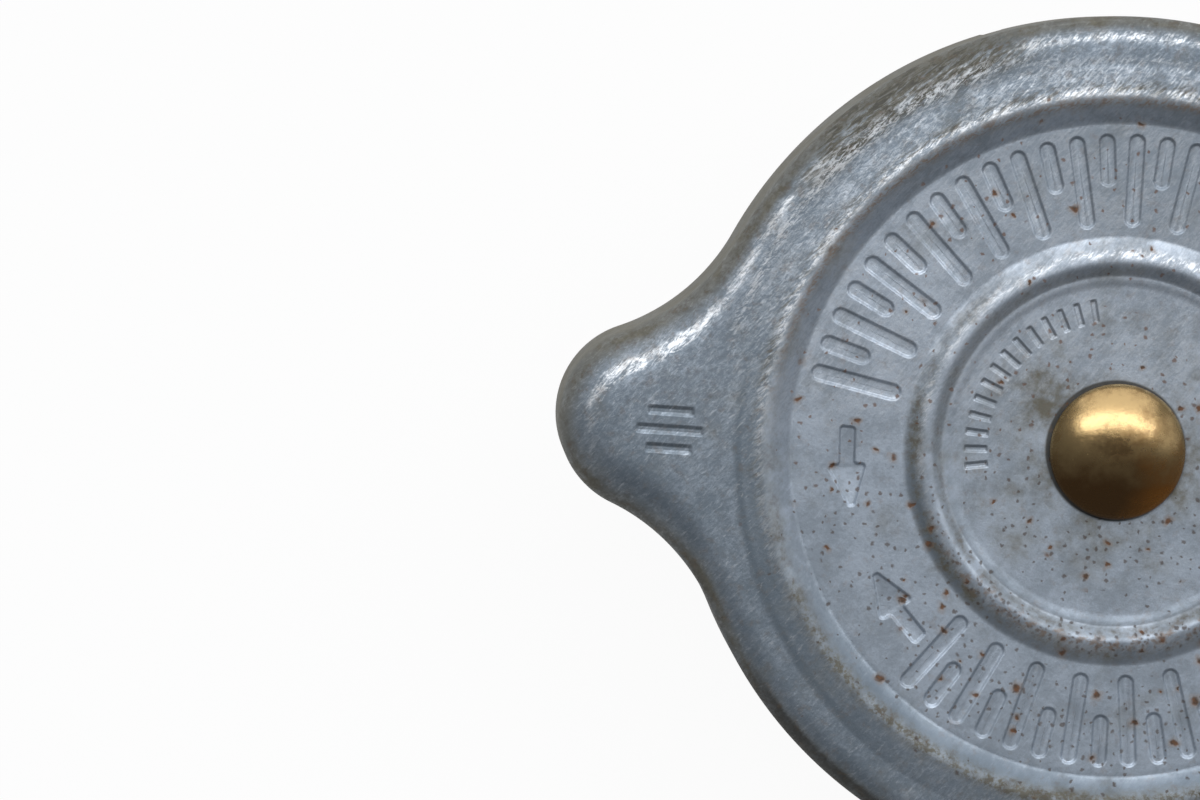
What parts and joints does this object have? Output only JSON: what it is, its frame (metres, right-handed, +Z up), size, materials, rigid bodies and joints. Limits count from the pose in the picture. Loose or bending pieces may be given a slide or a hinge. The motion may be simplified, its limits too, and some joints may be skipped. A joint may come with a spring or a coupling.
{
  "type": "radiator cap",
  "caption": "Two-eared pressed-steel radiator pressure cap with a brass centre rivet, a bayonet skirt, a sprung pressure valve and a vacuum vent valve.",
  "frame": {"origin": "on the cap's axis, in the plane of the seat gasket's lower face", "axes": "+Z up out of the domed rivet, +X through an ear, +Y through a bayonet lug"},
  "size_m": [0.0862, 0.067, 0.0269],
  "materials": {
    "zinc_sheet": "worn zinc plate with fine scratches, stains and rust specks",
    "rivet_brass": "aged polished brass",
    "sprung_steel": "rolled spring steel, lightly stained",
    "sheet_brass": "dull drawn brass with brown stains",
    "spring_wire": "drawn spring wire",
    "plated_steel": "dull plated sheet steel",
    "black_rubber": "matte moulded rubber"
  },
  "bodies": {
    "cover": {"cover_shell": "zinc_sheet", "centre_rivet": "rivet_brass", "spring_disc": "sprung_steel"},
    "bell": {"spring_bell": "sheet_brass", "pressure_spring": "spring_wire"},
    "valve": {"spring_cup": "plated_steel", "valve_plate": "sheet_brass", "seat_gasket": "black_rubber", "vent_spring": "spring_wire"},
    "vent": {"vent_valve": "sheet_brass", "vent_washer": "plated_steel"}
  },
  "joints": [
    {"name": "bell_swivel", "type": "hinge", "parent": "cover", "child": "bell", "pos_m": [0, 0, 0.0228], "axis": [0, 0, 1], "continuous": true},
    {"name": "valve_lift", "type": "slide", "parent": "bell", "child": "valve", "axis": [0, 0, 1], "range_m": [0, 0.0035], "stiffness_N_per_m": 4500, "deforming": ["pressure_spring"]},
    {"name": "vent_drop", "type": "slide", "parent": "valve", "child": "vent", "axis": [0, 0, -1], "range_m": [0, 0.002], "stiffness_N_per_m": 150, "springref_m": -0.0004, "deforming": ["vent_spring"]}
  ]
}
